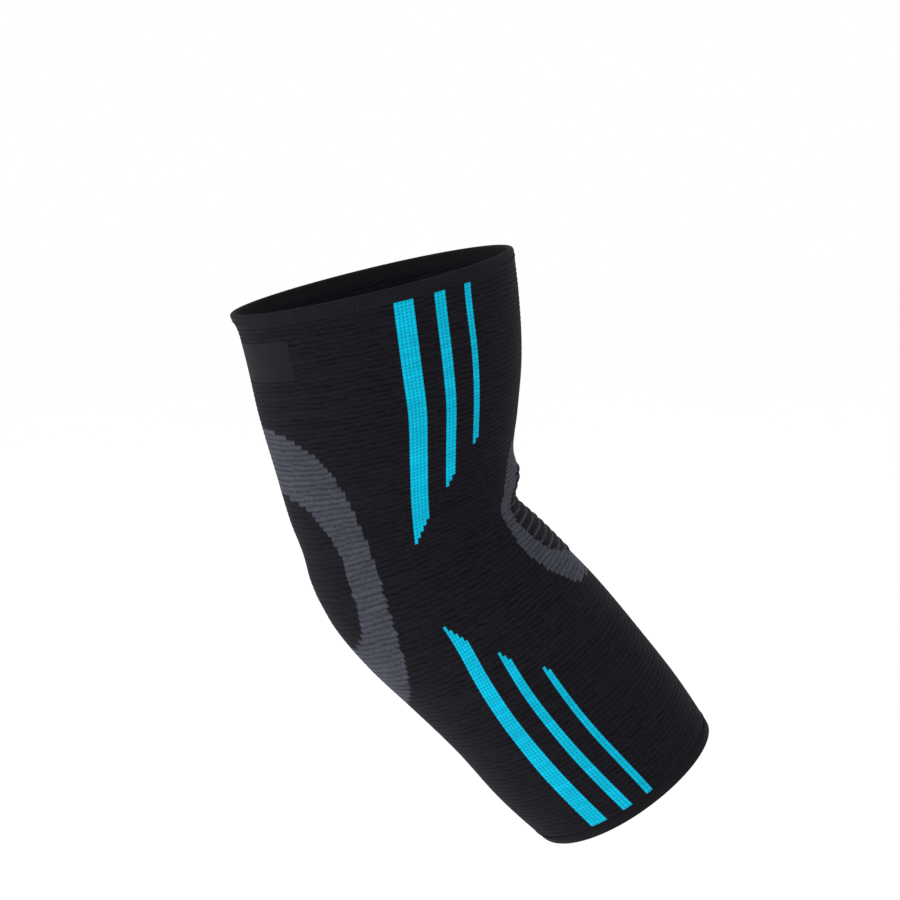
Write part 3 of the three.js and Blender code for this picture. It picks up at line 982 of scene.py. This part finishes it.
class SLEEVE_OT_cuffs(bpy.types.Operator):
    """Make the smooth turned welts at both rims"""

    bl_idname = "sleeve.cuffs"
    bl_label = "Cuffs"

    def execute(self, context):
        material = welt_material("Smooth black welt", settings().colours.welt)
        self.welt("upper_welt", "upper_cuff", 1, material)
        self.welt("lower_welt", "lower_cuff", -1, material)
        return {"FINISHED"}

    def welt(self, name, node, sign, material):
        """One welt: its section runs up the outside, over the rounded rim and down the inside."""
        form, grid, maker = settings().form, lattice(), MeshMaker()
        rim = form.upper_length if sign > 0 else form.lower_length
        start, proud = rim - form.cuff_height, form.cuff_proud
        depth, rib = settings().knit.rib_depth, form.rib_on_cuff
        section = [(start + x * rib, -depth * drop) for x, drop in zip(RIB_ROWS, RIB_DROP)]
        section += [(start + rib, -depth), (start + WELT_SHOULDER * rib, proud)]
        section += [(start + x * form.cuff_height, proud) for x in WELT_OUTSIDE]
        radius = (form.wall + proud) / 2
        for turn in np.linspace(0, math.pi, RIM_POINTS):
            height = rim - radius + radius * math.sin(turn)
            section.append((height, proud - radius * (1 - math.cos(turn))))
        section += [(start + x * form.cuff_height, -form.wall) for x in WELT_INSIDE]
        section = np.array(section)
        walked = np.append(0, np.cumsum(np.linalg.norm(np.diff(section, axis=0), axis=1)))
        s, label = np.broadcast_arrays(sign * section[:, :1], grid.labels[None, :-1])
        points = knit_point(s, grid.around(s, label), section[:, 1:])
        numbers = maker.add_rows(points, walked / WELT_ROW)
        closed = np.vstack([numbers, numbers[:1]])
        cells = np.ones((len(numbers), grid.wales), bool)
        cell_faces(maker, closed, cells, outward=sign > 0)
        finish_piece(maker.build(name, material), "black_welt", node)


class SLEEVE_OT_seam_stitches(bpy.types.Operator):
    """Make the row of small stitches that holds each cuff"""

    bl_idname = "sleeve.seam_stitches"
    bl_label = "Seam Stitches"

    def execute(self, context):
        form, colours = settings().form, settings().colours
        self.row("upper", form.upper_length - form.upper_seam_drop, colours.upper_thread)
        self.row("lower", form.lower_seam_drop - form.lower_length, colours.lower_thread)
        return {"FINISHED"}

    def row(self, end, s, thread):
        """One round of stitches: one stitch is modelled, then copied between every two wales."""
        bpy.ops.object.select_all(action="DESELECT")
        bpy.ops.mesh.primitive_uv_sphere_add(segments=6, ring_count=4, radius=1)
        bead = bpy.context.object
        form, grid = settings().form, lattice()
        size = np.array([form.stitch_width, form.stitch_length, form.stitch_height])
        shape = np.array([v.co for v in bead.data.vertices]) * size / 2
        quads = [tuple(p.vertices) for p in bead.data.polygons]
        bpy.data.objects.remove(bead, do_unlink=True)
        label = grid.labels[:-1] + math.pi / grid.wales
        where, step = np.full_like(label, s), 0.5 * MM
        around = grid.around(where, label)
        out = form.cuff_proud + STITCH_LIFT
        centre = knit_point(where, around, out)
        normal = face_normal(form, where, around)
        along = knit_point(where + step, around, out) - knit_point(where - step, around, out)
        along /= np.linalg.norm(along, axis=1, keepdims=True)
        points = centre[:, None]
        for size, way in zip(shape.T, (np.cross(along, normal), along, normal)):
            points = points + size[None, :, None] * way[:, None]
        starts = range(0, len(label) * len(shape), len(shape))
        faces = [tuple(start + i for i in quad) for start in starts for quad in quads]
        material = thread_material(f"{end.title()} seam thread", thread)
        piece = add_mesh(f"{end}_seam_stitches", points.reshape(-1, 3), faces, material)
        finish_piece(piece, "black_welt")


class SLEEVE_OT_cloth(bpy.types.Operator):
    """List the pieces knitted into the tube or sewn on it; nothing further is done with them"""

    bl_idname = "sleeve.cloth"
    bl_label = "Cloth"

    def execute(self, context):
        names = ["grey_ring", "grey_ladder", "back_patch", "upper_welt", "lower_welt"]
        names += ["upper_seam_stitches", "lower_seam_stitches"]
        names += ["cyan_" + node for node in zone_cells() if node.startswith("stripe")]
        return {"FINISHED"}


class SLEEVE_OT_stage(bpy.types.Operator):
    """Make the floor, the lights and the camera"""

    bl_idname = "sleeve.stage"
    bl_label = "Stage"

    def execute(self, context):
        self.floor()
        self.lights()
        self.camera()
        context.scene.view_settings.view_transform = "Standard"
        return {"FINISHED"}

    def floor(self):
        """A wide, plain, round floor with a rim of its own faces."""
        stage, colours = settings().stage, settings().colours
        bpy.ops.object.select_all(action="DESELECT")
        bpy.ops.mesh.primitive_circle_add(
            vertices=96,
            radius=stage.floor_radius,
            fill_type="NGON",
            location=(0, 0, CAD_BOX[0].z - stage.floor_drop),
        )
        floor = bpy.context.object
        floor.name = "floor"
        bpy.ops.object.mode_set(mode="EDIT")
        bpy.ops.mesh.select_all(action="SELECT")
        bpy.ops.mesh.inset(thickness=stage.floor_radius * 0.3)
        bpy.ops.object.mode_set(mode="OBJECT")
        bpy.ops.object.transform_apply()
        recipe = Recipe("Pale floor")
        recipe.shade(colours.floor, recipe.fuzz(3.0).scaled(0.01, 0.99))
        recipe.feed(0.9, recipe.shader.inputs["Roughness"])
        floor.data.materials.append(recipe.material)

    def lights(self):
        """A white room and four soft boxes."""
        world = bpy.data.worlds.new("White room")
        world.use_nodes = True
        background = world.node_tree.nodes["Background"]
        background.inputs["Color"].default_value = (1, 1, 1, 1)
        background.inputs["Strength"].default_value = 1.0
        bpy.context.scene.world = world
        for name, place, size, power in LIGHTS:
            light = bpy.data.lights.new(name, "AREA")
            light.shape, light.size, light.energy = "SQUARE", size, power
            lamp = add_object(name, light)
            lamp.location = place
            lamp.visible_camera = False
            lamp.rotation_euler = (-Vector(place)).to_track_quat("-Z", "Y").to_euler()

    def camera(self):
        """A camera at the photograph's angle, aimed beside the elbow."""
        stage = settings().stage
        turn = Euler((math.pi / 2 - stage.elevation, 0, stage.azimuth))
        aim = Vector((stage.aim_right, stage.aim_up, stage.distance))
        data = bpy.data.cameras.new("Camera")
        data.sensor_width = 36
        data.lens = data.sensor_width * stage.distance / stage.frame_width
        data.clip_start, data.clip_end = 0.01, 50
        camera = add_object("Camera", data)
        camera.location, camera.rotation_euler = turn.to_matrix() @ aim, turn
        bpy.context.scene.camera = camera


class SLEEVE_PT_panel(bpy.types.Panel):
    """Buttons and settings of the elbow sleeve"""

    bl_label = "Elbow Sleeve"
    bl_idname = "SLEEVE_PT_panel"
    bl_space_type = "VIEW_3D"
    bl_region_type = "UI"
    bl_category = "Elbow Sleeve"

    def draw(self, context):
        for operator in OPERATORS:
            self.layout.operator(operator.bl_idname)
        for part in SleeveSettings.__annotations__:
            group = getattr(settings(), part)
            box = self.layout.box()
            for name in type(group).__annotations__:
                box.prop(group, name)


GROUPS = (SleeveForm, KnitForm, ZoneForm, SleeveColours, StageForm, SleeveSettings)
OPERATORS = (
    SLEEVE_OT_knit_tube,
    SLEEVE_OT_grey_zones,
    SLEEVE_OT_stripes,
    SLEEVE_OT_patch,
    SLEEVE_OT_cuffs,
    SLEEVE_OT_seam_stitches,
    SLEEVE_OT_cloth,
    SLEEVE_OT_stage,
)
CLASSES = (*GROUPS, *OPERATORS, SLEEVE_PT_panel)


def register():
    """Registers the classes and puts the settings on the scene."""
    for item in CLASSES:
        bpy.utils.register_class(item)
    bpy.types.Scene.elbow_sleeve = PointerProperty(type=SleeveSettings)


def unregister():
    """Takes the settings and the classes away again."""
    del bpy.types.Scene.elbow_sleeve
    for item in reversed(CLASSES):
        bpy.utils.unregister_class(item)


def main():
    """Builds the whole sleeve and its stage."""
    register()
    bpy.ops.sleeve.knit_tube()
    bpy.ops.sleeve.grey_zones()
    bpy.ops.sleeve.stripes()
    bpy.ops.sleeve.patch()
    bpy.ops.sleeve.cuffs()
    bpy.ops.sleeve.seam_stitches()
    bpy.ops.sleeve.cloth()
    bpy.ops.sleeve.stage()


if __name__ == "__main__":
    main()
